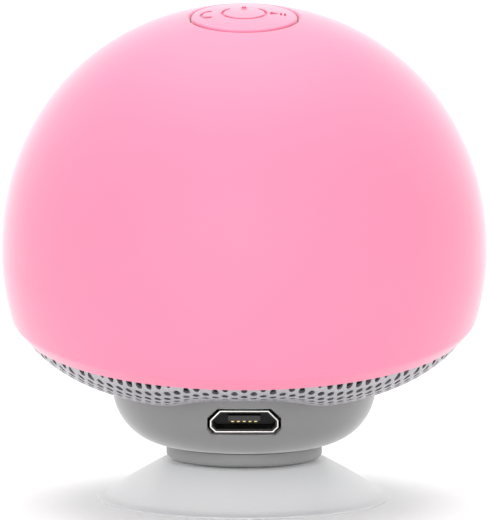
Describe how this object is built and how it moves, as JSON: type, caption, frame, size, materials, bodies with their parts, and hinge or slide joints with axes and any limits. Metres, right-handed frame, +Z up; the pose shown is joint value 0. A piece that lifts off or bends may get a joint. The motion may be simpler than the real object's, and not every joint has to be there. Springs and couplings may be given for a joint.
{
  "type": "shower speaker",
  "caption": "Small round wireless speaker: silicone-skinned dome with a top key, perforated dish grille and charging socket, on a swivelling bowl with a suction cup.",
  "frame": {"origin": "centre of the suction cup's sealing ring, on the surface it stands on", "axes": "+Z up along the foot, -Y towards the front, where the charging socket is"},
  "size_m": [0.055, 0.055, 0.0566],
  "materials": {
    "silicone_skin": "matte silicone",
    "key_silicone": "matte silicone with sunk symbols",
    "grille_paint": "satin",
    "bowl_plastic": "fine satin texture",
    "collar_plastic": "fine satin texture",
    "cup_silicone": "translucent, glossy",
    "stud_plastic": "gloss",
    "socket_steel": "bright nickel",
    "socket_plastic": "matt black",
    "contact_gold": "gold plated",
    "circuit_board": "solder resist",
    "chip_epoxy": "matt",
    "capacitor_can": "satin",
    "screw_steel": "zinc plated",
    "acoustic_fabric": "open weave",
    "abs_dark": "moulded",
    "abs_white": "moulded",
    "basket_steel": "black electrophoretic paint",
    "pole_steel": "zinc plated",
    "ferrite": "sintered",
    "coil_copper": "enamelled wire",
    "spider_cloth": "resin-dipped cotton",
    "cone_paper": "pressed paper",
    "surround_rubber": "satin",
    "foam": "closed cell",
    "cell_foil": "pouch foil",
    "tab_board": "laminate",
    "led_lens": "clear",
    "lead_red": "insulation",
    "lead_white": "insulation",
    "lead_black": "insulation"
  },
  "bodies": {
    "cup": {"suction_cup": "cup_silicone"},
    "cup_fixing": {"cup_stud": "stud_plastic", "cup_washer": "screw_steel", "cup_screw": "screw_steel"},
    "speaker": {"collar": "collar_plastic", "collar_screws": "screw_steel", "base_bowl": "bowl_plastic", "usb_shell": "socket_steel", "usb_tongue": "socket_plastic", "usb_contacts": "contact_gold", "main_board": "circuit_board", "radio_chip": "chip_epoxy", "amplifier_chip": "chip_epoxy", "crystal_can": "screw_steel", "board_capacitors": "capacitor_can", "board_screws": "screw_steel", "microphone": "screw_steel", "grille": "grille_paint", "acoustic_cloth": "acoustic_fabric", "baffle_plate": "abs_dark", "bowl_screws": "screw_steel", "dome_screws": "screw_steel", "driver_gasket": "foam", "driver_basket": "basket_steel", "terminal_board": "tab_board", "driver_top_plate": "pole_steel", "driver_magnet": "ferrite", "driver_yoke": "pole_steel", "driver_spider": "spider_cloth", "driver_surround": "surround_rubber", "driver_screws": "screw_steel", "inner_dome": "abs_white", "battery_pad": "foam", "battery_cell": "cell_foil", "battery_guard_board": "circuit_board", "button_board": "circuit_board", "button_board_screws": "screw_steel", "switch_housing": "socket_plastic", "status_led": "led_lens", "silicone_cap": "silicone_skin", "speaker_leads": "lead_red", "battery_leads": "lead_black", "button_leads": "lead_white"},
    "key": {"switch_stem": "abs_white", "button_plunger": "abs_white", "power_button": "key_silicone"},
    "cone": {"voice_coil": "coil_copper", "driver_cone": "cone_paper", "dust_cap": "cone_paper"}
  },
  "joints": [
    {"name": "cup_press", "type": "slide", "parent": "cup", "child": "cup_fixing", "axis": [0, 0, -1], "range_m": [0, 0.0015], "stiffness_N_per_m": 2500, "deforming": ["suction_cup"]},
    {"name": "swivel", "type": "hinge", "parent": "cup_fixing", "child": "speaker", "pos_m": [0, 0, 0.006], "axis": [0, 0, 1], "continuous": true},
    {"name": "key_press", "type": "slide", "parent": "speaker", "child": "key", "axis": [0, 0.1392, -0.9903], "range_m": [0, 0.0003], "stiffness_N_per_m": 4000},
    {"name": "cone_travel", "type": "slide", "parent": "speaker", "child": "cone", "axis": [0, -0.1392, 0.9903], "range_m": [-0.0006, 0.0006], "stiffness_N_per_m": 1500, "deforming": ["driver_surround", "driver_spider"]}
  ]
}
